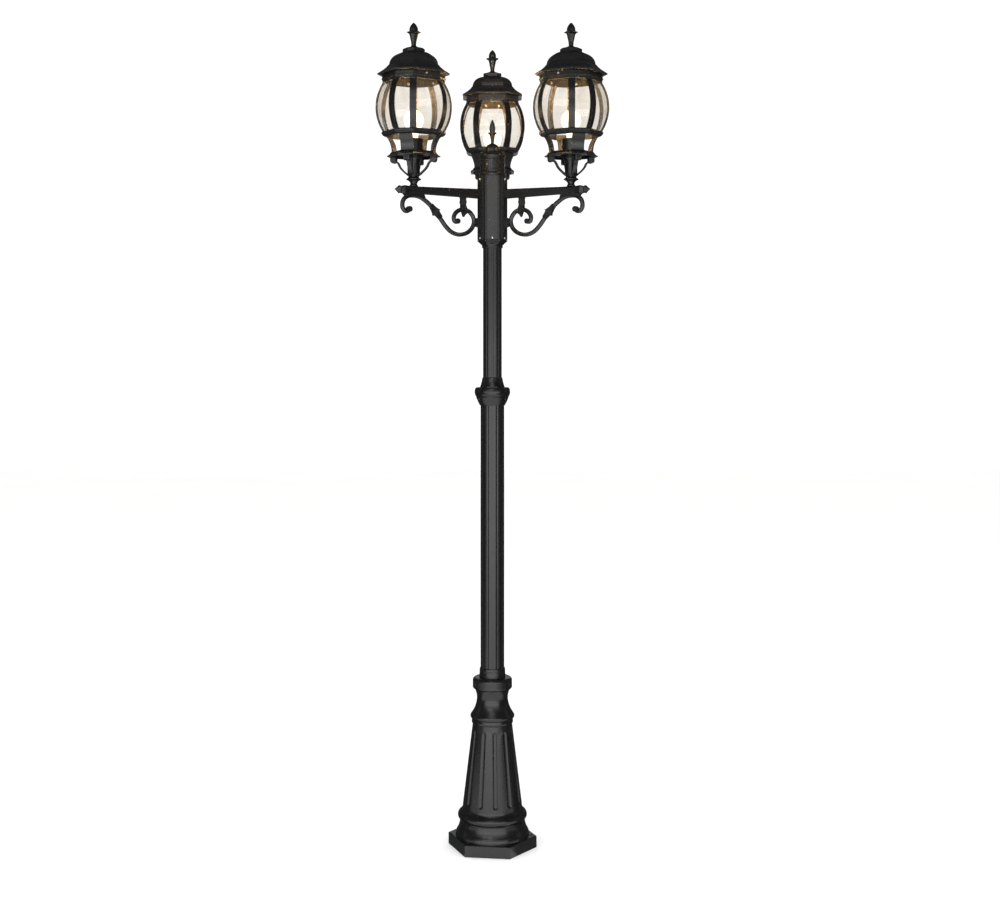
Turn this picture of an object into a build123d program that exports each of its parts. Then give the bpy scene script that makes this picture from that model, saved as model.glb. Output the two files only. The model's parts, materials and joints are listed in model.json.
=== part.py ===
from build123d import *
import os
from math import cos, sin, radians, sqrt, tan, hypot

os.makedirs("parts", exist_ok=True)

# ---------------------------------------------------------------------------
# Three-lantern post light.  Millimetres, +Z up.  The origin is the centre of
# the foot on the ground; one arm points to +Y (back), two to the front.
# ---------------------------------------------------------------------------

# driving sizes ------------------------------------------------------------
ARMS = {"left": 210.0, "right": 330.0, "back": 90.0}  # arm azimuths from +X
LANTERN_R = 282.0        # post axis to lantern axis
ARM_Z = 2081.0           # centre line of the arm bars
FOOT_R = 142.0           # hexagonal foot, centre to corner
FOOT_H = 37.0
FOOT_TURN = -7.4         # foot corners against the arm pattern
ANCHOR_PCD = 248.0
ANCHOR_HOLE_R = 5.5
LOWER_POLE_R = 38.0      # 76 mm tube
UPPER_POLE_R = 30.0      # 60 mm tube
FLUTES = 16
POLE_WALL = 3.2
HUB_AF = 38.0            # hub, centre to flat
HUB_BOTTOM, HUB_TOP = 1934.0, 2140.0
PLATE_T = 8.0            # arm mounting plate thickness
OCT_HALF = 28.0          # lantern corners at +-28, +-62, +-118, +-152 degrees
CAGE_ARC = 140.0         # rib curvature radius
CAGE_MID_Z = 2337.0      # widest level of the glass
CAGE_MID_R = 117.5       # corner radius there
RIB_W = 21.0
PANE_T = 3.0
RUN_GAP = 0.06           # running clearance of studs and lamp caps

OCT_DEG = [OCT_HALF, 90 - OCT_HALF, 90 + OCT_HALF, 180 - OCT_HALF,
           180 + OCT_HALF, 270 - OCT_HALF, 270 + OCT_HALF, 360 - OCT_HALF]


def pol(r, deg):
    return (r * cos(radians(deg)), r * sin(radians(deg)))


def side_plane(az, origin=(0, 0, 0)):
    """Upright plane through an axis: x runs outward at azimuth az, y is up."""
    c, s = cos(radians(az)), sin(radians(az))
    return Plane(origin=origin, x_dir=(c, s, 0), z_dir=(s, -c, 0))


def outline(plane, pts):
    """Closed straight-sided face on a plane."""
    with BuildSketch(plane) as sk:
        with BuildLine():
            Polyline(*pts, close=True)
        make_face()
    return sk.sketch


def octagon(r, z):
    """Lantern outline, a square with cut corners, corner radius r."""
    with BuildSketch(Plane.XY.offset(z)) as sk:
        Polygon(*[pol(r, a) for a in OCT_DEG], align=None)
    return sk.sketch


def ring8(r, z, turn=22.5):
    """Regular octagon of corner radius r."""
    with BuildSketch(Plane.XY.offset(z)) as sk:
        Polygon(*[pol(r, turn + 45 * k) for k in range(8)], align=None)
    return sk.sketch


def box_xyz(x0, x1, y0, y1, z0, z1):
    return Pos((x0 + x1) / 2, (y0 + y1) / 2, (z0 + z1) / 2) * Box(
        x1 - x0, y1 - y0, z1 - z0)


def at_lantern(az):
    x, y = pol(LANTERN_R, az)
    return Location((x, y, 0), (0, 0, az))


def write(part, name):
    part.label = name
    export_step(part, f"parts/{name}.step")


# ---------------------------------------------------------------------------
# foot casting: hexagonal plate, bell, fluted tapering body, neck and collar
# ---------------------------------------------------------------------------
# flute cutter: one capsule lying along the slope of the tapering body
slope = (95.2 - 63.6) / (387.0 - 127.0)
FLUTE_LO = (95.2 - slope * 22.0 + 6.6, 149.0)   # axis of the cutter, both ends
FLUTE_HI = (63.6 + slope * 17.0 + 5.4, 370.0)
flute_len = hypot(FLUTE_HI[0] - FLUTE_LO[0], FLUTE_HI[1] - FLUTE_LO[1])
with BuildPart() as flute:
    dx, dz = ((FLUTE_HI[0] - FLUTE_LO[0]) / flute_len,
              (FLUTE_HI[1] - FLUTE_LO[1]) / flute_len)
    lie = Plane(origin=(FLUTE_LO[0], 0, FLUTE_LO[1]), x_dir=(dx, 0, dz),
                z_dir=(0, 1, 0))
    with BuildSketch(lie):
        with BuildLine():
            ThreePointArc((-10.8, 0), (-10.8 * cos(radians(45)), 10.8 * sin(radians(45))),
                          (0, 10.8))
            Line((0, 10.8), (flute_len, 8.8))
            ThreePointArc((flute_len, 8.8),
                          (flute_len + 8.8 * cos(radians(45)), 8.8 * sin(radians(45))),
                          (flute_len + 8.8, 0))
            Line((flute_len + 8.8, 0), (-10.8, 0))
        make_face()
    revolve(axis=Axis((FLUTE_LO[0], 0, FLUTE_LO[1]), (dx, 0, dz)))

with BuildPart() as base_casting:
    with BuildSketch(Plane.XY) as foot:
        RegularPolygon(radius=FOOT_R, side_count=6, rotation=FOOT_TURN)
    extrude(amount=FOOT_H)
    chamfer(base_casting.faces().sort_by(Axis.Z)[-1].edges(), 2.5)
    with BuildSketch(Plane.XZ) as shell:
        with BuildLine():
            Polyline((0, 20), (117.5, 20), (117.5, FOOT_H + 3))
            ThreePointArc((117.5, FOOT_H + 3), (115.9, 48.5), (111.6, 57.0))
            ThreePointArc((111.6, 57.0), (106.6, 69.0), (104.0, 82.0))
            Polyline((104.0, 82.0), (103.2, 84.5), (103.6, 87.5), (105.4, 90.5))
            ThreePointArc((105.4, 90.5), (110.4, 101.0), (106.0, 111.5))
            Polyline((106.0, 111.5), (102.0, 115.0))
            ThreePointArc((102.0, 115.0), (97.2, 120.5), (95.2, 127.0))
            Line((95.2, 127.0), (63.6, 387.0))
            Polyline((63.6, 387.0), (63.0, 392.5), (65.6, 395.0), (66.4, 399.5),
                     (65.6, 404.0), (65.0, 407.0), (68.2, 410.0))
            ThreePointArc((68.2, 410.0), (70.4, 416.5), (68.0, 423.0))
            Line((68.0, 423.0), (65.6, 426.5))
            ThreePointArc((65.6, 426.5), (54.8, 447.0), (49.6, 472.0))
            ThreePointArc((49.6, 472.0), (51.0, 487.0), (56.4, 501.5))
            Line((56.4, 501.5), (59.6, 503.5))
            ThreePointArc((59.6, 503.5), (62.3, 506.5), (62.8, 511.0))
            Line((62.8, 511.0), (62.8, 529.0))
            ThreePointArc((62.8, 529.0), (60.8, 535.5), (55.0, 539.0))
            Polyline((55.0, 539.0), (0, 539.0), (0, 20))
        make_face()
    revolve(axis=Axis.Z)
    # hollow inside, ledge and bore for the pole
    with BuildSketch(Plane.XZ) as hollow:
        with BuildLine():
            Polyline((0, -1), (106, -1), (106, 26), (101.5, 52), (97.5, 66),
                     (97.5, 92), (90.0, 118), (86.5, 130), (55.5, 384),
                     (55.5, 414), (46.0, 446), (42.5, 458), (33.0, 462),
                     (33.0, 470), (LOWER_POLE_R + 0.15, 470),
                     (LOWER_POLE_R + 0.15, 541), (0, 541), close=True)
        make_face()
    revolve(axis=Axis.Z, mode=Mode.SUBTRACT)
    # long flutes with rounded ends down the tapering body
    with Locations(*[Location((0, 0, 0), (0, 0, 276.0 + 30 * k))
                     for k in range(12)]):
        add(flute.part, mode=Mode.SUBTRACT)
    # three anchor holes at every second corner
    for k in range(3):
        x, y = pol(ANCHOR_PCD / 2, 232.6 + 120 * k)
        with Locations((x, y, 0)):
            Cylinder(ANCHOR_HOLE_R, 3 * FOOT_H, mode=Mode.SUBTRACT)
    # set screw holes through the collar
    for k in range(3):
        pl = side_plane(210 + 120 * k, (0, 0, 520))
        with BuildSketch(Plane(origin=(0, 0, 520), z_dir=pl.x_dir)) as h:
            Circle(3.0)
        extrude(amount=80, mode=Mode.SUBTRACT)
write(base_casting.part, "base_casting")

with BuildPart() as pole_trim_ring:
    with BuildSketch(Plane.XZ):
        with BuildLine():
            Polyline((LOWER_POLE_R + 0.1, 539), (41.6, 539), (41.9, 541),
                     (41.6, 548), (40.9, 556), (40.9, 563), (40.2, 567.5),
                     (39.0, 569.5), (LOWER_POLE_R + 0.1, 570), close=True)
        make_face()
    revolve(axis=Axis.Z)
write(pole_trim_ring.part, "pole_trim_ring")


# ---------------------------------------------------------------------------
# fluted poles and the coupler between them
# ---------------------------------------------------------------------------
def pole(radius, z0, z1, groove_r, depth, turn, ends):
    with BuildPart() as tube:
        with BuildSketch(Plane.XY.offset(z0)):
            Circle(radius)
            Circle(radius - POLE_WALL, mode=Mode.SUBTRACT)
        extrude(amount=z1 - z0)
        # flutes stop short of the two plain ends
        with BuildSketch(Plane.XY.offset(z0 + ends[0])):
            with PolarLocations(radius + groove_r - depth, FLUTES, turn):
                Circle(groove_r)
        extrude(amount=z1 - z0 - ends[0] - ends[1], mode=Mode.SUBTRACT)
    return tube


lower_pole = pole(LOWER_POLE_R, 470, 1444, 15.0, 0.8, 270.0, (99.0, 36.0))
write(lower_pole.part, "lower_pole")

upper_pole = pole(UPPER_POLE_R, 1352, 2025, 11.5, 0.8, 281.25, (143.0, 115.0))
write(upper_pole.part, "upper_pole")

with BuildPart() as reducer_bush:
    with BuildSketch(Plane.XZ):
        with BuildLine():
            Polyline((26.0, 1346), (34.7, 1346), (34.7, 1444), (50.2, 1444),
                     (50.2, 1449), (42.0, 1452), (39.6, 1456), (39.0, 1468))
            ThreePointArc((39.0, 1468), (35.0, 1480.5), (32.6, 1493))
            Polyline((32.6, 1493), (31.6, 1496), (UPPER_POLE_R + 0.1, 1497),
                     (UPPER_POLE_R + 0.1, 1352), (26.0, 1352), (26.0, 1346))
        make_face()
    revolve(axis=Axis.Z)
write(reducer_bush.part, "reducer_bush")

with BuildPart() as coupler_cup:
    with BuildSketch(Plane.XZ):
        with BuildLine():
            Polyline((LOWER_POLE_R + 0.15, 1407), (39.8, 1407), (42.2, 1410.5),
                     (47.5, 1422.0), (52.2, 1433.0), (51.8, 1435.4),
                     (53.6, 1437.4))
            ThreePointArc((53.6, 1437.4), (56.9, 1449.0), (55.0, 1460.5))
            Polyline((55.0, 1460.5), (53.4, 1463.8), (50.6, 1464.6),
                     (50.6, 1444), (LOWER_POLE_R + 0.15, 1444),
                     (LOWER_POLE_R + 0.15, 1407))
        make_face()
    revolve(axis=Axis.Z)
    for k in range(3):
        with BuildSketch(Plane(origin=(0, 0, 1427),
                               z_dir=(*pol(1, 210 + 120 * k), 0))):
            Circle(3.0)
        extrude(amount=80, mode=Mode.SUBTRACT)
write(coupler_cup.part, "coupler_cup")


# ---------------------------------------------------------------------------
# hub: six-sided body, three cover strips, cap with its finial
# ---------------------------------------------------------------------------
def hexagon(r, z):
    with BuildSketch(Plane.XY.offset(z)) as sk:
        RegularPolygon(radius=r, side_count=6, rotation=0)
    return sk.sketch


STRIP_AZ = [270.0, 30.0, 150.0]
with BuildPart() as hub_body:
    extrude(hexagon(HUB_AF / cos(radians(30)), 1932), amount=HUB_TOP - 1932)
    loft([hexagon(36.5, 1920.5), hexagon(39.5, 1924.5), hexagon(46.0, 1930.0),
          hexagon(50.5, 1934.0)], ruled=True)
    extrude(hexagon(50.5, 1934.0), amount=-1.0)
    with BuildSketch(Plane.XZ):
        with BuildLine():
            Polyline((28, 1910), (32.0, 1910), (33.4, 1912), (33.4, 1918),
                     (34.8, 1921), (28, 1926), close=True)
        make_face()
    revolve(axis=Axis.Z)
    with BuildSketch(Plane.XY.offset(HUB_TOP)):
        Circle(36.0)
    extrude(amount=48)
    # pole socket, ledge, wiring cavity
    with BuildSketch(Plane.XZ):
        with BuildLine():
            Polyline((0, 1900), (UPPER_POLE_R + 0.1, 1900),
                     (UPPER_POLE_R + 0.1, 2025), (25.5, 2025), (25.5, 2031),
                     (31.0, 2036), (31.0, 2200), (0, 2200), close=True)
        make_face()
    revolve(axis=Axis.Z, mode=Mode.SUBTRACT)
    for az in ARMS.values():
        with BuildSketch(Plane(origin=(0, 0, 2078), z_dir=(*pol(1, az), 0))):
            Circle(6.0)
        extrude(amount=80, mode=Mode.SUBTRACT)
        for z in (1941.0, 2128.0):
            with BuildSketch(Plane(origin=(0, 0, z), z_dir=(*pol(1, az), 0))):
                Circle(2.5)
            extrude(amount=80, mode=Mode.SUBTRACT)
    for az in STRIP_AZ:
        with BuildSketch(Plane(origin=(0, 0, 1941), z_dir=(*pol(1, az), 0))):
            Circle(2.5)
        extrude(amount=80, mode=Mode.SUBTRACT)
write(hub_body.part, "hub_body")

with BuildPart() as strip:
    with BuildSketch(Plane.XZ.offset(HUB_AF)):
        with Locations((0, (1934 + HUB_TOP) / 2)):
            Rectangle(37.0, HUB_TOP - 1934)
    extrude(amount=5.0)
    chamfer(strip.faces().sort_by(Axis.Y)[0].edges(), 1.6)
    with BuildSketch(Plane.XZ):
        with Locations((0, 1941)):
            Circle(2.7)
    extrude(amount=60, mode=Mode.SUBTRACT)
with BuildPart() as hub_cover_strips:
    for az in STRIP_AZ:
        with Locations(Location((0, 0, 0), (0, 0, az - 270))):
            add(strip.part)
write(hub_cover_strips.part, "hub_cover_strips")

# round-headed screws: long ones hold the arm plates, short ones the strips
SCREW_HEAD = [(0, 3.4), (1.6, 3.2), (3.1, 2.3), (4.1, 1.0), (4.5, 0)]


def screw_profile(head_r, shank_r, length):
    return [(0, -length), (shank_r, -length), (shank_r, 0), (head_r, 0),
            (head_r, 0.8), (head_r * 0.84, 2.0), (head_r * 0.5, 2.9),
            (0, 3.2)]


def radial_screw(az, r_seat, z, head_r, shank_r, length):
    """Face to revolve about a radial axis; the head sits at radius r_seat."""
    c, s = cos(radians(az)), sin(radians(az))
    pl = Plane(origin=(c * r_seat, s * r_seat, z), x_dir=(0, 0, 1),
               z_dir=(s, -c, 0))
    pts = screw_profile(head_r, shank_r, length)
    face = outline(pl, [(x, -y if pl.y_dir.dot(Vector(c, s, 0)) < 0 else y)
                        for x, y in pts])
    return face, Axis((c * r_seat, s * r_seat, z), (c, s, 0))


with BuildPart() as hub_screws:
    for az in ARMS.values():
        for z in (1941.0, 2128.0):
            f, ax = radial_screw(az, HUB_AF + PLATE_T, z, 4.6, 2.5, 13.0)
            revolve(f, axis=ax)
    for az in STRIP_AZ:
        f, ax = radial_screw(az, HUB_AF + 5.0, 1941, 4.2, 2.5, 11.0)
        revolve(f, axis=ax)
write(hub_screws.part, "hub_screws")

with BuildPart() as hub_cap:
    with BuildSketch(Plane.XZ):
        with BuildLine():
            Polyline((36.3, HUB_TOP), (41.0, HUB_TOP))
            ThreePointArc((41.0, HUB_TOP), (42.2, 2145), (41.0, 2150))
            Polyline((41.0, 2150), (39.4, 2151.5), (39.4, 2154), (40.4, 2155.5),
                     (40.4, 2158.5), (39.6, 2160), (39.6, 2191), (38.4, 2193),
                     (38.4, 2197), (40.0, 2199))
            ThreePointArc((40.0, 2199), (41.6, 2203.5), (40.2, 2208))
            Polyline((40.2, 2208), (38.6, 2212.5), (34.0, 2216.5), (28.0, 2218),
                     (22.8, 2218.6), (22.4, 2222))
            ThreePointArc((22.4, 2222), (18.6, 2236), (9.0, 2243.4))
            Polyline((9.0, 2243.4), (0, 2243.6), (0, 2228), (15.0, 2226),
                     (17.5, 2213), (33.0, 2210), (36.3, 2206), (36.3, HUB_TOP))
        make_face()
    revolve(axis=Axis.Z)
    with Locations((0, 0, 2236)):
        Cylinder(3.0 + RUN_GAP, 40, mode=Mode.SUBTRACT)
    for k in range(3):
        with BuildSketch(Plane(origin=(0, 0, 2175),
                               z_dir=(*pol(1, 246 + 120 * k), 0))):
            Circle(3.0)
        extrude(amount=80, mode=Mode.SUBTRACT)
write(hub_cap.part, "hub_cap")


def finial(z0, stem0, stem1, flare, bud, h_stem, h_bud):
    """Goblet stem, pointed leaf collar and bud, with a plain stud below."""
    z1 = z0 + h_stem
    with BuildPart() as fin:
        loft([ring8(stem0 * 1.15, z0), ring8(stem0, z0 + 2.0)], ruled=True)
        loft([ring8(stem0, z0 + 2.0), ring8(stem0 * 1.12, z0 + h_stem * 0.35),
              ring8(stem1, z1)], ruled=True)
        loft([ring8(stem1, z1), ring8(stem1 * 1.10, z1 + h_bud * 0.05),
              ring8(flare * 0.86, z1 + h_bud * 0.15)], ruled=True)
        # collar of eight leaf points
        with BuildSketch(Plane.XY.offset(z1 + h_bud * 0.13)):
            pts = []
            for k in range(8):
                pts.append(pol(flare, 22.5 + 45 * k))
                pts.append(pol(flare * 0.76, 45 + 45 * k))
            Polygon(*pts, align=None)
        extrude(amount=h_bud * 0.085)
        zb = z1 + h_bud * 0.16
        hb = h_bud * 0.84
        loft([ring8(bud * 0.80, zb), ring8(bud, zb + hb * 0.20),
              ring8(bud * 0.98, zb + hb * 0.42), ring8(bud * 0.74, zb + hb * 0.66),
              ring8(bud * 0.38, zb + hb * 0.88), ring8(0.5, zb + hb)],
             ruled=True)
        with BuildSketch(Plane.XY.offset(z0 - 13.0)):
            Circle(3.0)
        extrude(amount=14.0)
    return fin


hub_finial = finial(2244.0, 5.6, 8.6, 15.4, 10.2, 25.0, 52.0)
write(hub_finial.part, "hub_finial")

# ---------------------------------------------------------------------------
# arm: plate, tapering bar with a spear end, and the scroll below it
# (drawn along +X, then turned to each arm's azimuth)
# ---------------------------------------------------------------------------
BAR = [  # radius, half height, half width
    (HUB_AF + PLATE_T - 1.0, 15.2, 11.5), (90.0, 14.4, 11.0), (250.0, 11.6, 9.6),
    (268.0, 11.4, 9.6), (300.0, 11.6, 9.8), (306.0, 12.2, 10.4),
    (316.0, 13.2, 11.4), (324.0, 11.2, 9.6), (328.5, 10.0, 8.4),
    (332.0, 12.4, 9.8), (335.5, 9.6, 7.6), (342.0, 4.6, 3.8), (348.0, 0.8, 0.7)]


def bar_section(r, hh, hw):
    """Eight-sided section with cut corners, standing across the bar."""
    c = min(hh, hw) * 0.42
    pts = [(hw, hh - c), (hw - c, hh), (-hw + c, hh), (-hw, hh - c),
           (-hw, -hh + c), (-hw + c, -hh), (hw - c, -hh), (hw, -hh + c)]
    pl = Plane(origin=(r, 0, ARM_Z), x_dir=(0, 1, 0), z_dir=(1, 0, 0))
    return outline(pl, pts)


# centre line of the scroll, from the outer curl to the inner curl (r, z)
SCROLL = [(297.5, 2020.6), (307.6, 2014.4), (318.6, 2022.0), (321.4, 2036.0),
          (316.0, 2051.6), (302.6, 2061.2), (284.5, 2063.8), (261.0, 2060.6),
          (238.6, 2048.0), (217.8, 2031.0), (200.4, 2012.4), (184.6, 1991.6),
          (167.6, 1971.0), (147.8, 1955.4), (126.6, 1949.0), (104.9, 1951.0),
          (84.6, 1961.0), (71.4, 1977.0), (67.6, 1994.6), (74.0, 2011.6),
          (88.4, 2024.4), (105.4, 2028.6), (122.6, 2025.0), (135.6, 2014.4),
          (140.6, 2000.6), (136.6, 1990.0), (127.7, 1989.6)]


def smooth_tangents(pts):
    """Unit tangents from the circle through each point and its neighbours."""
    out = []
    n = len(pts)
    for i in range(n):
        if 0 < i < n - 1:
            (x0, y0), (x1, y1), (x2, y2) = pts[i - 1], pts[i], pts[i + 1]
            a, b = hypot(x1 - x0, y1 - y0), hypot(x2 - x1, y2 - y1)
            tx = (x1 - x0) / a * b + (x2 - x1) / b * a
            ty = (y1 - y0) / a * b + (y2 - y1) / b * a
            q = hypot(tx, ty)
            out.append((tx / q, ty / q))
        else:
            out.append(None)
    for i, j, k in ((0, 1, 1), (n - 1, n - 2, -1)):
        # mirror the neighbour's tangent in the end chord
        (x0, y0), (x1, y1) = pts[i], pts[j]
        cx, cy = (x1 - x0) * k, (y1 - y0) * k
        q = hypot(cx, cy)
        cx, cy = cx / q, cy / q
        tx, ty = out[j]
        d = 2 * (tx * cx + ty * cy)
        out[i] = (d * cx - tx, d * cy - ty)
    return out


def biarc_mid(p0, t0, p1, t1):
    """Joint of the two equal-length tangent arcs from p0 to p1."""
    vx, vy = p1[0] - p0[0], p1[1] - p0[1]
    sx, sy = t0[0] + t1[0], t0[1] + t1[1]
    vv, vs = vx * vx + vy * vy, vx * sx + vy * sy
    tt = 2 * (1 - (t0[0] * t1[0] + t0[1] * t1[1]))
    if abs(tt) < 1e-9:
        d = vv / (2 * (vx * t1[0] + vy * t1[1]))
    else:
        d = (-vs + sqrt(vs * vs + tt * vv)) / tt
    return ((p0[0] + p1[0] + d * (t0[0] - t1[0])) / 2,
            (p0[1] + p1[1] + d * (t0[1] - t1[1])) / 2)


tangents = smooth_tangents(SCROLL)
with BuildLine(Plane.XZ) as scroll_line:
    here, face_dir = SCROLL[0], tangents[0]
    for i in range(len(SCROLL) - 1):
        mid = biarc_mid(SCROLL[i], tangents[i], SCROLL[i + 1], tangents[i + 1])
        for target in (mid, SCROLL[i + 1]):
            arc = TangentArc(here, target, tangent=face_dir)
            end_dir = arc % 1
            here, face_dir = target, (end_dir.X, end_dir.Z)

with BuildPart() as scroll:
    start = scroll_line.line @ 0
    run = scroll_line.line % 0
    across = Plane(origin=start, x_dir=(0, 1, 0), z_dir=run)
    # flat-sided bar, 13 deep and 13 wide, with a ridge on each side
    half_w, half_d = 6.6, 6.6
    with BuildSketch(across):
        with BuildLine():
            Polyline((half_w, 0), (half_w - 1.4, half_d * 0.55),
                     (half_w * 0.42, half_d), (-half_w * 0.42, half_d),
                     (-half_w + 1.4, half_d * 0.55), (-half_w, 0),
                     (-half_w + 1.4, -half_d * 0.55), (-half_w * 0.42, -half_d),
                     (half_w * 0.42, -half_d), (half_w - 1.4, -half_d * 0.55),
                     close=True)
        make_face()
    sweep(path=scroll_line.line)

with BuildPart() as arm:
    for n in range(len(BAR) - 1):
        loft([bar_section(*BAR[n]), bar_section(*BAR[n + 1])], ruled=True)
    # mounting plate
    with BuildSketch(Plane.YZ.offset(HUB_AF)):
        with Locations((0, (1935 + 2139) / 2)):
            Rectangle(32.0, 2139 - 1935)
    extrude(amount=PLATE_T)
    with BuildSketch(Plane.YZ.offset(HUB_AF + PLATE_T)):
        with Locations((0, 2037.0)):
            Rectangle(20.0, 158.0)
    extrude(amount=2.2)
    add(scroll.part)
    # curls end in small bosses
    for bx, bz, br in ((297.8, 2021.6, 9.0), (128.2, 1991.0, 8.6)):
        with BuildSketch(Plane.XZ.offset(-7.2)):
            with Locations((bx, bz)):
                Circle(br)
        extrude(amount=14.4)
        with BuildSketch(Plane.XZ.offset(-8.6)):
            with Locations((bx, bz)):
                Circle(br * 0.55)
        extrude(amount=17.2)
    # leaf collar where the two curves join, spur, wavy link and hub tab
    ux, uz = -0.665, -0.747
    px, pz = -uz, ux
    leaf = [(-30, 5.6), (-16, 7.4), (-5, 11.0), (2, 14.6), (1.5, 9.0), (10, 7.6),
            (22, 6.2), (22, -6.2), (10, -7.6), (1.5, -9.0), (2, -14.6),
            (-5, -11.0), (-16, -7.4), (-30, -5.6)]
    leaf = [(203.0 + s * ux + w * px, 2015.4 + s * uz + w * pz) for s, w in leaf]
    for flat in (
            outline(Plane.XZ.offset(-7.4), leaf),
            outline(Plane.XZ.offset(-5.5), [
                (117, 2030), (111.5, 2019), (108.6, 2011), (105.6, 2004.6),
                (101.0, 2011.5), (95.0, 2016.5), (86.0, 2018.6), (90, 2028)]),
            outline(Plane.XZ.offset(-6.0), [
                (97.6, 2068), (98.6, 2060), (96.6, 2052), (99.0, 2045),
                (97.0, 2038), (93.0, 2030), (113.0, 2030), (115.6, 2037),
                (115.2, 2044), (117.4, 2051), (115.6, 2059), (117.6, 2068)]),
            outline(Plane.XZ.offset(-7.0), [
                (44, 1972), (58, 1976), (64, 1981), (66, 1990), (63, 1999),
                (56, 2004), (44, 2008)]),
            outline(Plane.XZ.offset(-6.5), [
                (252, 2073), (246, 2066), (243, 2056), (250, 2058), (262, 2062),
                (285, 2065), (304, 2062), (312, 2062), (318, 2068), (322, 2074)])):
        extrude(flat, amount=2 * flat.face().center().Y)
    # wire way along the bar and up into the lantern nipple
    with BuildSketch(Plane.YZ.offset(30)):
        with Locations((0, 2078.0)):
            Circle(4.6)
    extrude(amount=LANTERN_R - 30 + 3.6, mode=Mode.SUBTRACT)
    with BuildSketch(Plane.XY.offset(2078)):
        with Locations((LANTERN_R, 0)):
            Circle(3.7)
    extrude(amount=30, mode=Mode.SUBTRACT)
    with BuildSketch(Plane.XY.offset(2085.5)):
        with Locations((LANTERN_R, 0)):
            Circle(5.0)
    extrude(amount=30, mode=Mode.SUBTRACT)
    for z in (1941.0, 2128.0):
        with BuildSketch(Plane.YZ.offset(30)):
            with Locations((0, z)):
                Circle(2.7)
        extrude(amount=30, mode=Mode.SUBTRACT)

for side, az in ARMS.items():
    with BuildPart() as placed:
        with Locations(Location((0, 0, 0), (0, 0, az))):
            add(arm.part)
    write(placed.part, f"arm_{side}")

# ---------------------------------------------------------------------------
# lantern pieces, drawn about the lantern axis with +X pointing outward
# ---------------------------------------------------------------------------
BAR_TOP = ARM_Z + 11.62

with BuildPart() as pedestal:
    with BuildSketch(Plane.XZ):
        with BuildLine():
            Polyline((5.2, BAR_TOP), (13.4, BAR_TOP), (13.6, 2095.0),
                     (11.0, 2098.0), (10.6, 2101.0))
            ThreePointArc((10.6, 2101.0), (13.6, 2107.0), (19.6, 2111.0))
            Polyline((19.6, 2111.0), (23.0, 2112.6), (23.2, 2115.0),
                     (19.4, 2117.4), (17.0, 2120.0), (16.4, 2124.0),
                     (16.4, 2150.0), (5.2, 2150.0), (5.2, BAR_TOP))
        make_face()
    revolve(axis=Axis.Z)

RIB_CX = CAGE_MID_R - CAGE_ARC


def barrel(z, inset=0.0):
    """Corner radius of the cage at height z, inset from its outer face."""
    return RIB_CX + sqrt((CAGE_ARC - inset) ** 2 - (z - CAGE_MID_Z) ** 2)


# holder below the lantern: sleeve over the pedestal and four bowed brackets
with BuildPart() as holder:
    with BuildSketch(Plane.XZ):
        with BuildLine():
            Polyline((16.6, 2124.6), (19.6, 2124.6), (20.4, 2127.0),
                     (19.6, 2130.0), (19.6, 2164.0), (21.0, 2167.0),
                     (21.0, 2172.0), (24.0, 2178.0), (24.0, 2183.4),
                     (5.2, 2183.4), (5.2, 2150.2), (16.6, 2150.2), close=True)
        make_face()
    revolve(axis=Axis.Z)
    for psi in (45, 135, 225, 315):
        vp = side_plane(psi)
        with BuildSketch(vp) as band:
            with BuildLine() as bow:
                l1 = TangentArc((61.0, 2171.5), (47.5, 2160.0),
                                tangent=(-0.98, -0.2))
                l2 = TangentArc((47.5, 2160.0), (37.5, 2144.5),
                                tangent=l1 % 1)
                l3 = TangentArc((37.5, 2144.5), (18.2, 2127.6),
                                tangent=l2 % 1)
            trace(line_width=4.6)
        extrude(amount=6.5, both=True)
        # grooved pad under the flange
        with BuildSketch(vp):
            with BuildLine():
                Polyline((56.0, 2183.4), (74.0, 2183.4), (74.4, 2174.0),
                         (72.6, 2168.0), (67.0, 2165.0), (60.0, 2166.0),
                         (56.0, 2170.0), close=True)
            make_face()
        extrude(amount=9.5, both=True)
        for off in (-3.2, 3.2):
            with BuildSketch(vp.offset(off)):
                with BuildLine():
                    Polyline((70.6, 2186.0), (80.0, 2186.0), (80.0, 2160.0),
                             (66.0, 2160.0), (70.6, 2169.0), close=True)
                make_face()
            extrude(amount=1.3, both=True, mode=Mode.SUBTRACT)

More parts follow.
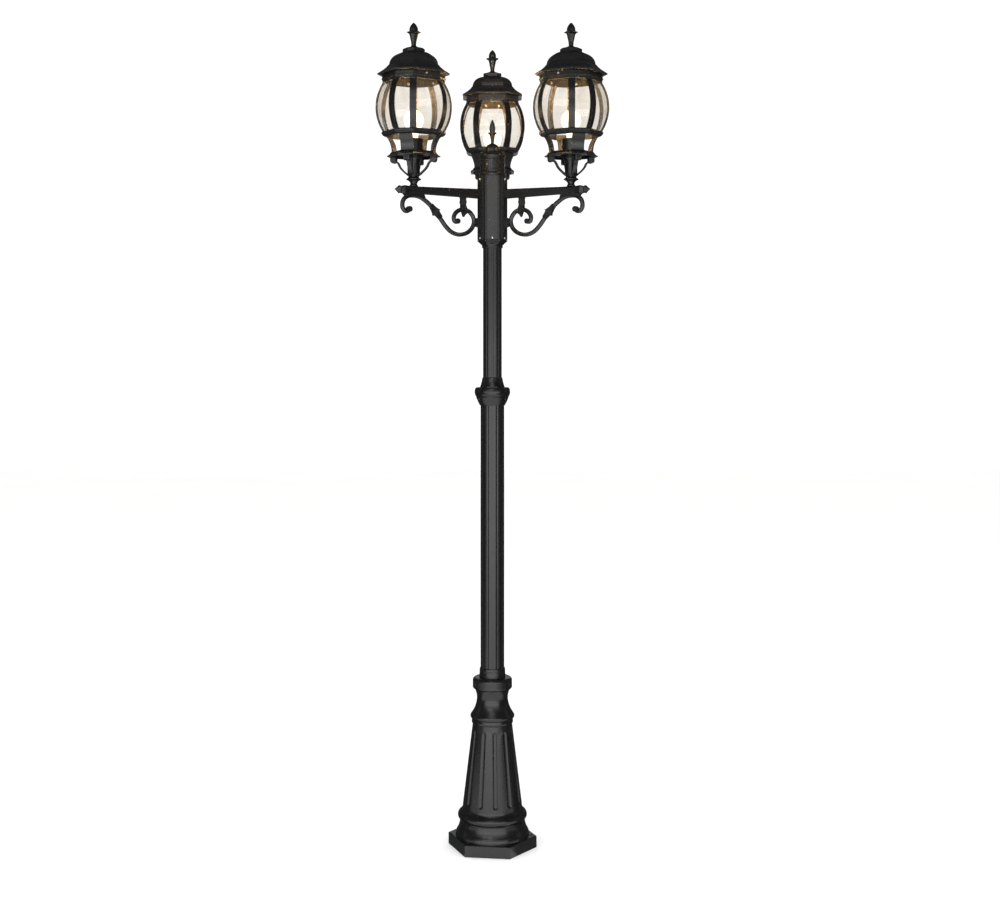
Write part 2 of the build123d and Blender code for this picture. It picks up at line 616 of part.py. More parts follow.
# open gallery: sloped floor flange, four plates, moulded ring under the glass
with BuildPart() as gallery:
    extrude(octagon(83.0, 2183.4), amount=3.2)
    loft([octagon(83.0, 2186.6), octagon(76.0, 2190.4), octagon(70.5, 2198.0)],
         ruled=True)
    for psi in (45, 135, 225, 315):
        with BuildSketch(side_plane(psi)):
            with BuildLine():
                ThreePointArc((65.5, 2196.0), (69.4, 2222.0), (84.5, 2249.0))
                Line((84.5, 2249.0), (79.5, 2249.0))
                ThreePointArc((79.5, 2249.0), (65.2, 2223.0), (61.5, 2196.0))
                Line((61.5, 2196.0), (65.5, 2196.0))
            make_face()
        extrude(amount=20.6, both=True)
    loft([octagon(90.0, 2246.0), octagon(96.6, 2249.6)], ruled=True)
    extrude(octagon(96.6, 2249.6), amount=2.0)
    loft([octagon(96.6, 2251.6), octagon(100.0, 2254.0)], ruled=True)
    extrude(octagon(100.0, 2254.0), amount=4.6)
    loft([octagon(100.0, 2258.6), octagon(97.4, 2262.0)], ruled=True)
    extrude(octagon(80.0, 2246.0), amount=20.0, mode=Mode.SUBTRACT)
    with Locations((0, 0, 2190)):
        Cylinder(5.2, 40, mode=Mode.SUBTRACT)
    extrude(octagon(72.0, 2180.0), amount=9.4, mode=Mode.SUBTRACT)
    with BuildSketch(Plane.XY.offset(2183.4)):
        Circle(26.0)
        Circle(5.2, mode=Mode.SUBTRACT)
    extrude(amount=8.0)
    for psi in (45, 135, 225, 315):
        x, y = pol(65.0, psi)
        with Locations(Location((x, y, 2187.4), (0, 0, psi))):
            Box(17.0, 18.0, 8.0)


def rib_strip(inset_out, inset_in, z0, z1):
    """Curved strip of the rib side view between two insets of the barrel."""
    zm = (z0 + z1) / 2
    with BuildSketch(side_plane(0)) as sk:
        with BuildLine():
            ThreePointArc((barrel(z0, inset_out), z0), (barrel(zm, inset_out), zm),
                          (barrel(z1, inset_out), z1))
            Line((barrel(z1, inset_out), z1), (barrel(z1, inset_in), z1))
            ThreePointArc((barrel(z1, inset_in), z1), (barrel(zm, inset_in), zm),
                          (barrel(z0, inset_in), z0))
            Line((barrel(z0, inset_in), z0), (barrel(z0, inset_out), z0))
        make_face()
    return sk.sketch


CAGE_Z0, CAGE_Z1 = 2262.0, 2417.0
with BuildPart() as rib:
    extrude(rib_strip(0.0, 2.2, CAGE_Z0, CAGE_Z1), amount=RIB_W / 2, both=True)
    extrude(rib_strip(-0.9, 1.0, CAGE_Z0, CAGE_Z1), amount=2.4, both=True)
    extrude(rib_strip(1.0, 7.4, CAGE_Z0, CAGE_Z1), amount=1.8, both=True)
    # small curl at the top, under the roof skirt
    with Locations((94.2, 0, 2413.5)):
        Cylinder(2.8, 15.0, rotation=(90, 0, 0))
with BuildPart() as cage:
    extrude(octagon(95.0, 2414.4), amount=22.6)
    extrude(octagon(90.6, 2400.0), amount=60, mode=Mode.SUBTRACT)
    for a in OCT_DEG:
        with Locations(Location((0, 0, 0), (0, 0, a))):
            add(rib.part)
    # tapped holes for the glass clip screws, on the middle of each wide side
    for psi in (0, 90, 180, 270):
        for t in (-22.0, 22.0):
            d = Vector(*pol(1, psi), 0)
            n = Vector(*pol(1, psi + 90), 0)
            with BuildSketch(Plane(origin=d * 70 + n * t + Vector(0, 0, 2424.0),
                                   z_dir=d)):
                Circle(1.8)
            extrude(amount=13.0, mode=Mode.SUBTRACT)

# screws whose heads clip the glass from inside the band
with BuildPart() as clip_screws:
    for psi in (0, 90, 180, 270):
        for t in (-22.0, 22.0):
            d = Vector(*pol(1, psi), 0)
            n = Vector(*pol(1, psi + 90), 0)
            seat = 90.6 * cos(radians(OCT_HALF))
            o = d * seat + n * t + Vector(0, 0, 2424.0)
            with BuildSketch(Plane(origin=o, z_dir=-d)):
                Circle(4.6)
            extrude(amount=1.2)
            with BuildSketch(Plane(origin=o - d * 1.2, z_dir=-d)):
                Circle(3.2)
            extrude(amount=1.6)
            with BuildSketch(Plane(origin=o, z_dir=d)):
                Circle(1.8)
            extrude(amount=2.8)


def pane(half_angle):
    """One bowed pane: straight across, curved upright, trimmed at the ribs."""
    ca = cos(radians(half_angle))
    zm = (CAGE_Z0 + CAGE_Z1) / 2
    zt, zb, g0, g1 = 2414.3, 2262.0, 2.5, 2.5 + PANE_T
    with BuildPart() as piece:
        with BuildSketch(side_plane(0)):
            with BuildLine():
                ThreePointArc((barrel(zb, g0) * ca, zb), (barrel(zm, g0) * ca, zm),
                              (barrel(zt, g0) * ca, zt))
                Line((barrel(zt, g0) * ca, zt), (barrel(zt, g0) * ca - PANE_T, zt))
                ThreePointArc((barrel(zt, g0) * ca - PANE_T, zt),
                              (barrel(zm, g0) * ca - PANE_T, zm),
                              (barrel(zb, g0) * ca - PANE_T, zb))
                Line((barrel(zb, g0) * ca - PANE_T, zb), (barrel(zb, g0) * ca, zb))
            make_face()
        extrude(amount=70, both=True)
        sa, ta = sin(radians(half_angle)), tan(radians(half_angle))
        x0 = 2.3 / sa
        extrude(outline(Plane.XY.offset(2250), [
            (x0, 0), (200, (200 - x0) * ta), (200, -(200 - x0) * ta)]),
            amount=200, mode=Mode.INTERSECT)
    return piece


pane_wide = pane(OCT_HALF)
pane_narrow = pane(45 - OCT_HALF)
with BuildPart() as glass:
    for psi in (0, 90, 180, 270):
        with Locations(Location((0, 0, 0), (0, 0, psi))):
            add(pane_wide.part)
        with Locations(Location((0, 0, 0), (0, 0, psi + 45))):
            add(pane_narrow.part)

# roof: skirt, flared eave, domed shoulder and top tier, hollow inside
with BuildPart() as roof:
    extrude(octagon(98.0, 2418.0), amount=20.0)
    loft([octagon(98.0, 2421.6), octagon(100.2, 2423.4), octagon(100.2, 2426.0),
          octagon(98.0, 2427.4)], ruled=True)
    loft([octagon(98.0, 2435.6), octagon(111.6, 2438.2), octagon(113.2, 2439.0)],
         ruled=True)
    extrude(octagon(113.2, 2439.0), amount=3.2)
    loft([octagon(113.2, 2442.2), octagon(108.6, 2445.4), octagon(100.0, 2450.6),
          octagon(91.0, 2456.8), octagon(83.6, 2463.2), octagon(78.6, 2469.4)],
         ruled=True)
    loft([octagon(76.6, 2469.4), octagon(75.8, 2474.0), octagon(74.2, 2480.6),
          octagon(70.6, 2487.4), octagon(65.0, 2494.0), octagon(57.0, 2499.8),
          octagon(46.6, 2504.4), octagon(36.0, 2507.2)], ruled=True)
    loft([octagon(35.4, 2506.0), octagon(34.6, 2508.0)], ruled=True)
    extrude(octagon(34.6, 2508.0), amount=9.6)
    loft([octagon(34.6, 2517.6), octagon(32.6, 2519.2), octagon(20.0, 2522.4),
          octagon(10.5, 2526.0)], ruled=True)
    extrude(octagon(10.5, 2526.0), amount=0.6)
    # inside
    extrude(octagon(95.6, 2410.0), amount=28.6, mode=Mode.SUBTRACT)
    extrude(octagon(89.0, 2438.0), amount=8.0, mode=Mode.SUBTRACT)
    loft([octagon(89.0, 2446.0), octagon(80.0, 2456.0), octagon(74.0, 2464.0),
          octagon(71.6, 2474.0), octagon(69.6, 2480.0), octagon(66.0, 2485.6),
          octagon(60.6, 2490.6), octagon(53.0, 2495.4), octagon(40.0, 2500.0),
          octagon(29.0, 2503.0)], ruled=True, mode=Mode.SUBTRACT)
    extrude(octagon(29.0, 2503.0), amount=10.0, mode=Mode.SUBTRACT)
    with Locations((0, 0, 2520)):
        Cylinder(3.0 + RUN_GAP, 30, mode=Mode.SUBTRACT)
    # retaining screw holes, middle of two opposite wide sides
    for psi in (90, 270):
        with BuildSketch(Plane(origin=(0, 0, 2431.6), z_dir=(*pol(1, psi), 0))):
            Circle(2.0)
        extrude(amount=100, mode=Mode.SUBTRACT)

roof_seat = 98.0 * cos(radians(OCT_HALF))
with BuildPart() as roof_screws:
    for psi in (90, 270):
        f, ax = radial_screw(psi, roof_seat, 2431.6, 3.5, 2.0, 2.3)
        revolve(f, axis=ax)

roof_finial = finial(2527.0, 7.4, 13.6, 21.8, 13.6, 37.0, 37.0)

# lamp holder: cup, porcelain socket, threaded nipple and its lock nut
with BuildPart() as socket_cup:
    with BuildSketch(Plane.XZ):
        with BuildLine():
            Polyline((5.2, 2198.0), (27.0, 2198.0))
            ThreePointArc((27.0, 2198.0), (29.1, 2198.9), (30.0, 2201.0))
            Polyline((30.0, 2201.0), (30.0, 2236.4), (31.0, 2237.2),
                     (31.0, 2238.6), (29.4, 2239.0), (28.0, 2238.4),
                     (28.0, 2201.0), (26.6, 2200.0), (5.2, 2200.0),
                     (5.2, 2198.0))
        make_face()
    revolve(axis=Axis.Z)

with BuildPart() as socket:
    with BuildSketch(Plane.XZ):
        with BuildLine():
            Polyline((5.2, 2205.2), (14.0, 2205.2), (18.0, 2208.0),
                     (20.0, 2213.0), (20.0, 2236.0), (19.2, 2239.0),
                     (17.0, 2241.0), (13.2 + RUN_GAP, 2241.0),
                     (13.2 + RUN_GAP, 2214.0), (5.2, 2214.0), close=True)
        make_face()
    revolve(axis=Axis.Z)

with BuildPart() as nipple:
    with BuildSketch(Plane.XY.offset(2085.5)):
        Circle(5.0)
        Circle(3.7, mode=Mode.SUBTRACT)
    extrude(amount=2208.0 - 2085.5)

with BuildPart() as lock_nut:
    with BuildSketch(Plane.XY.offset(2200.0)):
        RegularPolygon(radius=9.2, side_count=6)
        Circle(5.0, mode=Mode.SUBTRACT)
    extrude(amount=5.0)

# lamp: metal cap and a hollow pear-shaped envelope
with BuildPart() as lamp_base:
    with BuildSketch(Plane.XZ):
        with BuildLine():
            Polyline((0, 2214.6), (3.6, 2214.6), (4.4, 2216.4), (9.6, 2218.2),
                     (12.4, 2219.4))
            Polyline((12.4, 2219.4), (13.2, 2220.6), (12.5, 2222.4),
                     (13.2, 2224.2), (12.5, 2226.0), (13.2, 2227.8),
                     (12.5, 2229.6), (13.2, 2231.4), (12.5, 2233.2),
                     (13.2, 2235.0), (12.6, 2236.8), (12.9, 2242.2),
                     (0, 2242.2), (0, 2214.6))
        make_face()
    revolve(axis=Axis.Z)

with BuildPart() as lamp_bulb:
    with BuildSketch(Plane.XZ):
        with BuildLine():
            Line((0, 2242.2), (13.4, 2242.2))
            Spline((13.4, 2242.2), (14.6, 2252.0), (19.6, 2268.0),
                   (27.4, 2284.0), (30.0, 2298.0), (26.0, 2314.0),
                   (15.6, 2324.6), (0, 2328.6),
                   tangents=((0.02, 1.0), (-1.0, 0.0)))
            Line((0, 2328.6), (0, 2327.6))
            Spline((0, 2327.6), (15.0, 2323.6), (25.0, 2313.4),
                   (29.0, 2298.0), (26.4, 2284.4), (18.6, 2268.4),
                   (13.6, 2252.2), (12.4, 2244.2),
                   tangents=((1.0, 0.0), (-0.02, -1.0)))
            Polyline((12.4, 2244.2), (0, 2244.2), (0, 2242.2))
        make_face()
    revolve(axis=Axis.Z)

LANTERN = {"pedestal": pedestal, "holder": holder, "gallery": gallery,
           "cage": cage, "glass": glass, "roof": roof,
           "roof_screws": roof_screws, "roof_finial": roof_finial,
           "socket_cup": socket_cup, "socket": socket,
           "lamp_base": lamp_base, "lamp_bulb": lamp_bulb}
for name, master in LANTERN.items():
    for side, az in ARMS.items():
        with BuildPart() as placed:
            with Locations(at_lantern(az)):
                add(master.part)
        write(placed.part, f"{name}_{side}")

# ---------------------------------------------------------------------------
# pieces that are alike in all three lanterns share one node
# ---------------------------------------------------------------------------
with BuildPart() as roof_gasket:
    extrude(octagon(94.6, 2437.0), amount=1.2)
    extrude(octagon(91.2, 2436.0), amount=4.0, mode=Mode.SUBTRACT)

SHARED = {"nipples": nipple, "lock_nuts": lock_nut,
          "glass_clip_screws": clip_screws, "roof_gaskets": roof_gasket}
for name, master in SHARED.items():
    with BuildPart() as group:
        for az in ARMS.values():
            with Locations(at_lantern(az)):
                add(master.part)
    write(group.part, name)

# hollow-point set screws: collar, coupler and cap, three of each
with BuildPart() as set_screws:
    for az0, z, r0, r1 in ((210, 520, LOWER_POLE_R, 60.5),
                           (210, 1427, LOWER_POLE_R, 50.0),
                           (246, 2175, 36.0, 41.4)):
        for k in range(3):
            az = az0 + 120 * k
            c, s = pol(1, az)
            with BuildSketch(Plane(origin=(c * r0, s * r0, z),
                                   z_dir=(c, s, 0))):
                Circle(3.0)
            extrude(amount=r1 - r0)
            with BuildSketch(Plane(origin=(c * (r1 - 2.2), s * (r1 - 2.2), z),
                                   z_dir=(c, s, 0))):
                RegularPolygon(radius=1.7, side_count=6)
            extrude(amount=5, mode=Mode.SUBTRACT)
write(set_screws.part, "set_screws")

# ---------------------------------------------------------------------------
# wiring: three leads down the pole, one cable along each arm
# ---------------------------------------------------------------------------
with BuildPart() as feed_wires:
    for az in ARMS.values():
        x, y = pol(7.5, az)
        with BuildSketch(Plane.XY.offset(78.0)):
            with Locations((x, y)):
                Circle(1.7)
        extrude(amount=2150.0 - 78.0)
write(feed_wires.part, "feed_wires")

with BuildPart() as arm_wires:
    for az in ARMS.values():
        vp = side_plane(az)
        with BuildLine(vp) as route:
            FilletPolyline((15.5, 2150.0), (15.5, 2078.0), (LANTERN_R, 2078.0),
                           (LANTERN_R, 2205.0), radius=[12.0, 7.5])
        o = route.line @ 0
        with BuildSketch(Plane(origin=o, z_dir=route.line % 0)):
            Circle(2.0)
        sweep(path=route.line)
write(arm_wires.part, "arm_wires")

with BuildPart() as wire_nuts:
    for az in ARMS.values():
        for r, z, up in ((11.5, 2150.0, 1), (7.5, 78.0, -1)):
            x, y = pol(r, az)
            wide = 8.0 if up > 0 else 5.6
            with BuildSketch(Plane.XY.offset(z)) as mouth:
                with Locations((x, y)):
                    Circle(wide)
            with BuildSketch(Plane.XY.offset(z + up * 22)) as tip:
                with Locations((x, y)):
                    Circle(wide * 0.62)
            loft([mouth.sketch, tip.sketch])
write(wire_nuts.part, "wire_nuts")
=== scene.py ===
import json
import math
import bpy
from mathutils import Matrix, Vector


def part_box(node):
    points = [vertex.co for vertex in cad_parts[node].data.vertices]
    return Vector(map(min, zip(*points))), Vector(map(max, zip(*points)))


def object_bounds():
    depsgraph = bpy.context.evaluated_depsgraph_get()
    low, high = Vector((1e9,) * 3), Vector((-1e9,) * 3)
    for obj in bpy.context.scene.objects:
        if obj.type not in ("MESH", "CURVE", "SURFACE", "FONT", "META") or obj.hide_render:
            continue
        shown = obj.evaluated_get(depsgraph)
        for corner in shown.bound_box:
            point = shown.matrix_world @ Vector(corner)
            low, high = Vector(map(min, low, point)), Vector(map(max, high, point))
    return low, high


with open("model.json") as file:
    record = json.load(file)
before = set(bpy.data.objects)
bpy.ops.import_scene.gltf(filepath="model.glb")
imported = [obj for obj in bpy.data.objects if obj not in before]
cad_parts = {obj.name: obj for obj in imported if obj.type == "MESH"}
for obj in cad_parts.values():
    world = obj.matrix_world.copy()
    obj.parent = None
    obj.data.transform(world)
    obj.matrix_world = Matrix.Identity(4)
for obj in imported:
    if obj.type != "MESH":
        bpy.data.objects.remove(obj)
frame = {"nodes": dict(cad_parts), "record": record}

cad_low, cad_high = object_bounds()
nodes = frame["nodes"]
record = frame["record"]
slot_of = {s["node"]: s["material_slot"] for s in record["subparts"]}

# ---------------------------------------------------------------------------
# material helpers
# ---------------------------------------------------------------------------


def new_material(name):
    mat = bpy.data.materials.new(name)
    mat.use_nodes = True
    nt = mat.node_tree
    nt.nodes.clear()
    out = nt.nodes.new("ShaderNodeOutputMaterial")
    bsdf = nt.nodes.new("ShaderNodeBsdfPrincipled")
    nt.links.new(bsdf.outputs["BSDF"], out.inputs["Surface"])
    coord = nt.nodes.new("ShaderNodeTexCoord")
    return mat, nt, bsdf, coord.outputs["Object"]


def noise(nt, vector, scale, detail=3.0, rough=0.5, stretch=None):
    if stretch:
        mp = nt.nodes.new("ShaderNodeMapping")
        mp.inputs["Scale"].default_value = stretch
        nt.links.new(vector, mp.inputs["Vector"])
        vector = mp.outputs["Vector"]
    n = nt.nodes.new("ShaderNodeTexNoise")
    n.inputs["Scale"].default_value = scale
    n.inputs["Detail"].default_value = detail
    n.inputs["Roughness"].default_value = rough
    nt.links.new(vector, n.inputs["Vector"])
    return n.outputs["Fac"]


def ramp(nt, fac, stops):
    r = nt.nodes.new("ShaderNodeValToRGB")
    e = r.color_ramp.elements
    while len(e) < len(stops):
        e.new(0.5)
    for el, (pos, col) in zip(e, stops):
        el.position = pos
        el.color = (*col, 1.0) if len(col) == 3 else col
    nt.links.new(fac, r.inputs["Fac"])
    return r.outputs["Color"]


def remap(nt, fac, lo, hi, a=0.3, b=0.7):
    m = nt.nodes.new("ShaderNodeMapRange")
    m.inputs["From Min"].default_value = a
    m.inputs["From Max"].default_value = b
    m.inputs["To Min"].default_value = lo
    m.inputs["To Max"].default_value = hi
    nt.links.new(fac, m.inputs["Value"])
    return m.outputs["Result"]


def mix(nt, fac, a, b):
    m = nt.nodes.new("ShaderNodeMix")
    m.data_type = "RGBA"
    for value, socket in ((fac, m.inputs[0]), (a, m.inputs[6]), (b, m.inputs[7])):
        if hasattr(value, "is_output"):
            nt.links.new(value, socket)
        elif isinstance(value, tuple):
            socket.default_value = (*value, 1.0)
        else:
            socket.default_value = value
    return m.outputs[2]


def bump(nt, height, strength, distance, normal=None):
    b = nt.nodes.new("ShaderNodeBump")
    b.inputs["Strength"].default_value = strength
    b.inputs["Distance"].default_value = distance
    nt.links.new(height, b.inputs["Height"])
    if normal is not None:
        nt.links.new(normal, b.inputs["Normal"])
    return b.outputs["Normal"]


def soft_edges(nt, radius):
    b = nt.nodes.new("ShaderNodeBevel")
    b.samples = 4
    b.inputs["Radius"].default_value = radius
    return b.outputs["Normal"]


def powder_coat(name, rough=(0.24, 0.31), grain=0.16, edge=0.0012, tone=0.27,
                stretch=None):
    """Satin black powder coat: fine orange peel, faint dust on level faces,
    edges painted a little lighter as a highlight."""
    mat, nt, bsdf, co = new_material(name)
    cloud = noise(nt, co, 9.0, 4.0, 0.6, stretch)
    speck = noise(nt, co, 420.0, 2.0, 0.6)
    dark = (0.0100 * tone, 0.0101 * tone, 0.0106 * tone)
    light = (0.0185 * tone, 0.0186 * tone, 0.0192 * tone)
    colour = ramp(nt, cloud, [(0.30, dark), (0.72, light)])
    colour = mix(nt, remap(nt, speck, 0.0, 0.35, 0.52, 0.75), colour,
                 (0.034 * tone, 0.034 * tone, 0.035 * tone))
    geo = nt.nodes.new("ShaderNodeNewGeometry")
    # dust settles where the face looks up
    sep = nt.nodes.new("ShaderNodeSeparateXYZ")
    nt.links.new(geo.outputs["True Normal"], sep.inputs["Vector"])
    up = remap(nt, sep.outputs["Z"], 0.0, 0.30, 0.55, 1.0)
    dusty = nt.nodes.new("ShaderNodeMath")
    dusty.operation = "MULTIPLY"
    nt.links.new(up, dusty.inputs[0])
    nt.links.new(remap(nt, noise(nt, co, 60.0, 5.0, 0.65), 0.0, 1.0, 0.42, 0.70),
                 dusty.inputs[1])
    colour = mix(nt, dusty.outputs["Value"], colour, (0.010, 0.0098, 0.0095))
    # painted highlight: sharp edges painted lighter, standing in for the light their
    # rounded edges catch
    painted_edge_highlight = remap(nt, geo.outputs["Pointiness"], 0.0, 0.45, 0.53, 0.62)
    colour = mix(nt, painted_edge_highlight, colour, (0.024, 0.024, 0.025))
    nt.links.new(colour, bsdf.inputs["Base Color"])
    nt.links.new(remap(nt, noise(nt, co, 26.0, 4.0, 0.55), rough[0], rough[1]),
                 bsdf.inputs["Roughness"])
    bsdf.inputs["Metallic"].default_value = 0.0
    bsdf.inputs["IOR"].default_value = 1.52
    n = soft_edges(nt, edge)
    n = bump(nt, noise(nt, co, 95.0, 3.0, 0.5), grain * 0.55, 0.0006, n)
    n = bump(nt, noise(nt, co, 620.0, 2.0, 0.5), grain, 0.00022, n)
    nt.links.new(n, bsdf.inputs["Normal"])
    return mat


def plain_metal(name, colour, colour2, rough=(0.22, 0.34), scale=320.0,
                brush=None, grain=0.12, edge=0.0003):
    mat, nt, bsdf, co = new_material(name)
    c = ramp(nt, noise(nt, co, 140.0, 3.0, 0.6), [(0.30, colour2), (0.65, colour)])
    nt.links.new(c, bsdf.inputs["Base Color"])
    bsdf.inputs["Metallic"].default_value = 1.0
    nt.links.new(remap(nt, noise(nt, co, scale, 3.0, 0.6, brush), rough[0], rough[1]),
                 bsdf.inputs["Roughness"])
    n = bump(nt, noise(nt, co, scale * 3.0, 2.0, 0.5, brush), grain, 0.0002,
             soft_edges(nt, edge))
    nt.links.new(n, bsdf.inputs["Normal"])
    return mat


def plastic(name, colour, colour2, rough, scale=240.0, grain=0.1):
    mat, nt, bsdf, co = new_material(name)
    c = ramp(nt, noise(nt, co, scale * 0.4, 3.0, 0.6), [(0.30, colour2), (0.70, colour)])
    nt.links.new(c, bsdf.inputs["Base Color"])
    nt.links.new(remap(nt, noise(nt, co, scale, 3.0, 0.6), rough[0], rough[1]),
                 bsdf.inputs["Roughness"])
    nt.links.new(bump(nt, noise(nt, co, scale * 2.5, 2.0, 0.5), grain, 0.0002),
                 bsdf.inputs["Normal"])
    return mat


def pane_glass(name):
    """Clear bent glass with a faint warm tint and slight waviness."""
    mat, nt, bsdf, co = new_material(name)
    tint = ramp(nt, noise(nt, co, 22.0, 2.0, 0.5, (1.0, 1.0, 0.14)),
                [(0.34, (0.945, 0.905, 0.840)), (0.66, (0.995, 0.975, 0.940))])
    nt.links.new(tint, bsdf.inputs["Base Color"])
    bsdf.inputs["Transmission Weight"].default_value = 1.0
    bsdf.inputs["IOR"].default_value = 1.47
    nt.links.new(remap(nt, noise(nt, co, 55.0, 3.0, 0.6), 0.0, 0.05, 0.45, 0.8),
                 bsdf.inputs["Roughness"])
    n = bump(nt, noise(nt, co, 14.0, 2.0, 0.45, (1.0, 1.0, 0.45)), 0.30, 0.0022)
    nt.links.new(n, bsdf.inputs["Normal"])
    return mat


def lamp_glass(name):
    """Soft white lit envelope, a little brighter towards its belly."""
    mat, nt, bsdf, co = new_material(name)
    sep = nt.nodes.new("ShaderNodeSeparateXYZ")
    nt.links.new(co, sep.inputs["Vector"])
    low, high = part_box("lamp_bulb_left")
    belly = remap(nt, sep.outputs["Z"], 0.0, 1.0, low.z + 0.004, low.z + 0.050)
    warm = ramp(nt, belly, [(0.0, (1.0, 0.66, 0.34)), (0.6, (1.0, 0.90, 0.70)),
                           (1.0, (1.0, 0.93, 0.78))])
    nt.links.new(mix(nt, remap(nt, noise(nt, co, 30.0, 2.0), 0.0, 0.2), warm,
                     (1.0, 0.90, 0.72)), bsdf.inputs["Emission Color"])
    bsdf.inputs["Emission Strength"].default_value = 1.25
    bsdf.inputs["Base Color"].default_value = (0.90, 0.86, 0.78, 1.0)
    bsdf.inputs["Roughness"].default_value = 0.35
    return mat


MATERIALS = {
    "powder_coat": powder_coat("powder_coat_satin_black"),
    "powder_coat_pole": powder_coat("powder_coat_pole", rough=(0.22, 0.28),
                                    edge=0.0009, stretch=(1.0, 1.0, 0.25)),
    "screw_steel": plain_metal("screw_steel_bright", (0.74, 0.71, 0.66),
                               (0.50, 0.48, 0.45)),
    "dark_steel": plain_metal("set_screw_steel", (0.46, 0.45, 0.44),
                              (0.24, 0.24, 0.24), rough=(0.28, 0.42)),
    "zinc_steel": plain_metal("zinc_plated_steel", (0.66, 0.66, 0.62),
                              (0.46, 0.47, 0.45), rough=(0.30, 0.45)),
    "wire_insulation": plastic("wire_insulation_black", (0.030, 0.030, 0.031),
                               (0.014, 0.014, 0.015), (0.42, 0.55)),
    "connector_plastic": plastic("connector_orange", (0.72, 0.24, 0.03),
                                 (0.58, 0.17, 0.02), (0.30, 0.42)),
    "gasket_rubber": plastic("gasket_rubber_grey", (0.055, 0.053, 0.050),
                             (0.030, 0.029, 0.028), (0.75, 0.90), grain=0.3),
    "pane_glass": pane_glass("bent_clear_glass"),
    "lamp_glass": lamp_glass("lit_lamp_glass"),
    "lamp_cap_metal": plain_metal("lamp_cap_aluminium", (0.80, 0.78, 0.74),
                                  (0.60, 0.58, 0.55), rough=(0.20, 0.32)),
    "socket_ceramic": plastic("glazed_porcelain", (0.84, 0.82, 0.76),
                              (0.70, 0.68, 0.62), (0.10, 0.20), grain=0.05),
}
for name, obj in nodes.items():
    mat = MATERIALS[slot_of[name]]
    if not obj.material_slots:
        obj.data.materials.append(mat)
    for s in obj.material_slots:
        s.material = mat
    # light passes the clear panes
    if slot_of[name] == "pane_glass":
        obj.visible_shadow = False
    # the lit envelope lets the light inside it out
    if slot_of[name] == "lamp_glass":
        obj.visible_shadow = False

# ---------------------------------------------------------------------------
# floor, light and camera
# ---------------------------------------------------------------------------
mesh = bpy.data.meshes.new("floor")
h = 14.0
mesh.from_pydata([(-h, -h, 0), (h, -h, 0), (h, h, 0), (-h, h, 0)], [],
                 [(0, 1, 2, 3)])
floor = bpy.data.objects.new("floor", mesh)
bpy.context.scene.collection.objects.link(floor)
fmat, fnt, fb, fco = new_material("pale_floor")
fnt.links.new(ramp(fnt, noise(fnt, fco, 1.3, 3.0, 0.5),
                   [(0.3, (0.950, 0.950, 0.945)), (0.7, (0.965, 0.965, 0.960))]),
              fb.inputs["Base Color"])
fb.inputs["Roughness"].default_value = 0.85
floor.data.materials.append(fmat)
floor.visible_glossy = False
floor.location = (0, 0, cad_low[2] - 0.0004)
# the same floor in front of the light, seen in its paint
mesh = bpy.data.meshes.new("floor_front")
mesh.from_pydata([(-2.2, -4.4, 0), (1.5, -4.4, 0), (1.5, -0.10, 0), (-2.2, -0.10, 0)],
                 [], [(0, 1, 2, 3)])
front = bpy.data.objects.new("floor_front", mesh)
bpy.context.scene.collection.objects.link(front)
front.data.materials.append(fmat)
front.visible_camera = False
front.visible_shadow = False
front.visible_diffuse = False
front.location = (0, 0, cad_low[2] - 0.0002)

world = bpy.data.worlds.new("studio")
bpy.context.scene.world = world
world.use_nodes = True
wt = world.node_tree
wt.nodes.clear()
wout = wt.nodes.new("ShaderNodeOutputWorld")
bg = wt.nodes.new("ShaderNodeBackground")
dim = wt.nodes.new("ShaderNodeBackground")
both = wt.nodes.new("ShaderNodeMixShader")
path = wt.nodes.new("ShaderNodeLightPath")
bg.inputs["Color"].default_value = (1.0, 1.0, 1.0, 1.0)
bg.inputs["Strength"].default_value = 1.12
dim.inputs["Color"].default_value = (0.95, 0.97, 1.0, 1.0)
dim.inputs["Strength"].default_value = 0.065
only = wt.nodes.new("ShaderNodeMath")
only.operation = "SUBTRACT"
only.use_clamp = True
wt.links.new(path.outputs["Is Glossy Ray"], only.inputs[0])
part = wt.nodes.new("ShaderNodeMath")
part.operation = "MULTIPLY"
wt.links.new(path.outputs["Is Transmission Ray"], part.inputs[0])
part.inputs[1].default_value = 0.40
wt.links.new(part.outputs["Value"], only.inputs[1])
wt.links.new(only.outputs["Value"], both.inputs["Fac"])
wt.links.new(bg.outputs["Background"], both.inputs[1])
wt.links.new(dim.outputs["Background"], both.inputs[2])
wt.links.new(both.outputs["Shader"], wout.inputs["Surface"])


def softbox(name, at, look, sx, sy, radiance, colour=(1, 1, 1)):
    data = bpy.data.lights.new(name, "AREA")
    data.shape = "RECTANGLE"
    data.size, data.size_y = sx, sy
    data.energy = radiance * math.pi * sx * sy
    data.color = colour
    o = bpy.data.objects.new(name, data)
    o.location = at
    o.rotation_euler = (Vector(look) - Vector(at)).to_track_quat("-Z", "Y").to_euler()
    o.visible_camera = False
    bpy.context.scene.collection.objects.link(o)
    return o


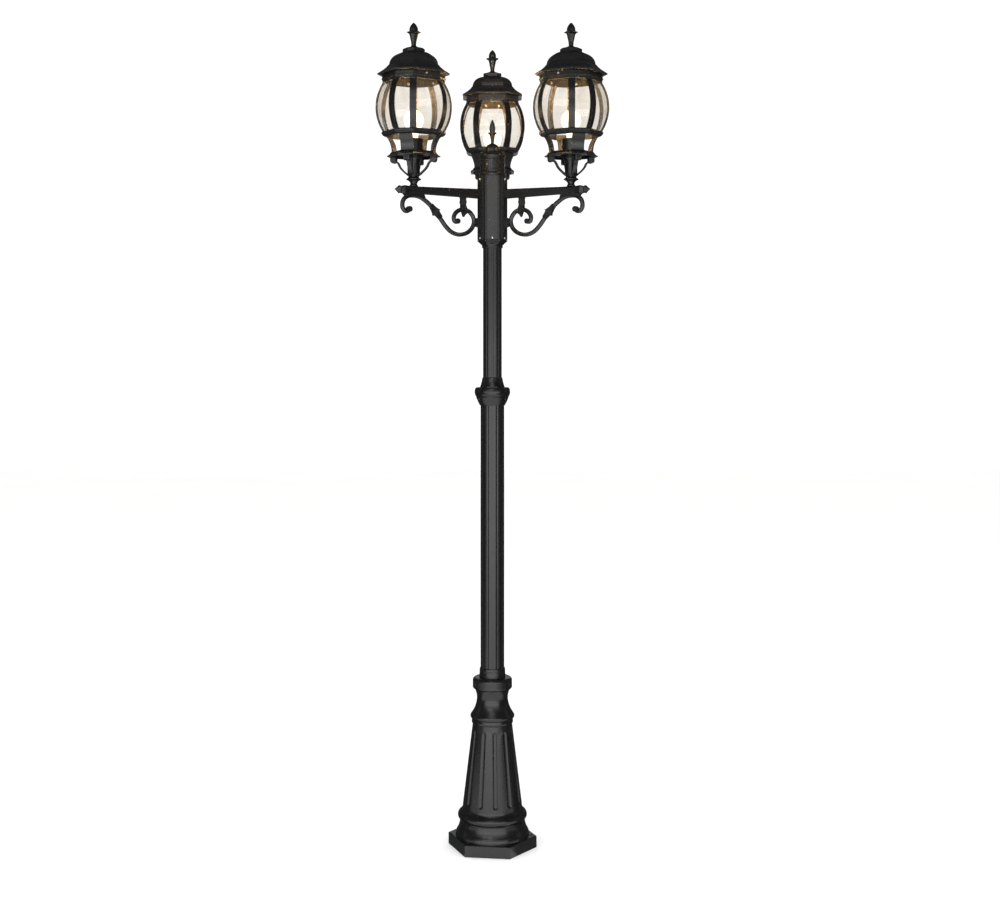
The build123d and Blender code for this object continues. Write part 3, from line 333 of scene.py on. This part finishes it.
softbox("front_low", (-0.7, -4.4, 0.86), (-0.7, 0, 0.86), 10.6, 1.70, 2.4)
softbox("front_high", (-0.7, -4.4, 2.36), (-0.7, 0, 2.36), 10.6, 1.30, 0.80)
softbox("front_top", (-0.2, -3.5, 4.1), (0, 0, 0.2), 2.4, 1.4, 1.6)
softbox("strip_near", (-0.62, -4.4, 3.00), (0, 0, 2.3), 0.24, 0.80, 14.0)
softbox("strip_side", (-2.3, -4.4, 3.05), (0, 0, 2.3), 0.26, 0.75, 14.0)
softbox("left_box", (-5.0, 0.8, 2.4), (0, 0, 1.4), 1.2, 2.6, 0.30)
softbox("right_box", (5.0, 0.8, 2.4), (0, 0, 1.4), 1.2, 2.6, 0.30)
softbox("back_box", (0.6, 5.4, 2.4), (0, 0, 1.4), 4.0, 2.4, 0.45)
softbox("top_box", (0, -0.6, 5.6), (0, 0, 1.0), 2.6, 2.6, 0.15)

# the light of each lamp: mostly upwards, the socket holds it back below
for side in ("left", "right", "back"):
    low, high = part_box("lamp_bulb_" + side)
    data = bpy.data.lights.new("lamp_light_" + side, "SPOT")
    data.energy = 20.0
    data.color = (1.0, 0.60, 0.22)
    data.spot_size = math.radians(166)
    data.spot_blend = 0.35
    data.shadow_soft_size = 0.026
    o = bpy.data.objects.new("lamp_light_" + side, data)
    o.location = ((low.x + high.x) / 2, (low.y + high.y) / 2, low.z + 0.045)
    o.rotation_euler = (math.radians(180), 0, 0)
    o.visible_camera = False
    bpy.context.scene.collection.objects.link(o)
    data = bpy.data.lights.new("lamp_glow_" + side, "POINT")
    data.energy = 2.6
    data.color = (1.0, 0.62, 0.26)
    data.shadow_soft_size = 0.026
    g = bpy.data.objects.new("lamp_glow_" + side, data)
    g.location = o.location
    g.visible_camera = False
    bpy.context.scene.collection.objects.link(g)

cam_data = bpy.data.cameras.new("camera")
cam_data.sensor_width = 36.0
cam_data.lens = 52.7
cam_data.shift_x = 0.0076
cam_data.shift_y = -0.105
cam_data.dof.use_dof = False
cam = bpy.data.objects.new("camera", cam_data)
cam.location = (0.0, -4.685, 1.600)
cam.rotation_euler = (math.radians(90), 0, 0)
bpy.context.scene.collection.objects.link(cam)
bpy.context.scene.camera = cam
bpy.context.scene.view_settings.view_transform = "Standard"
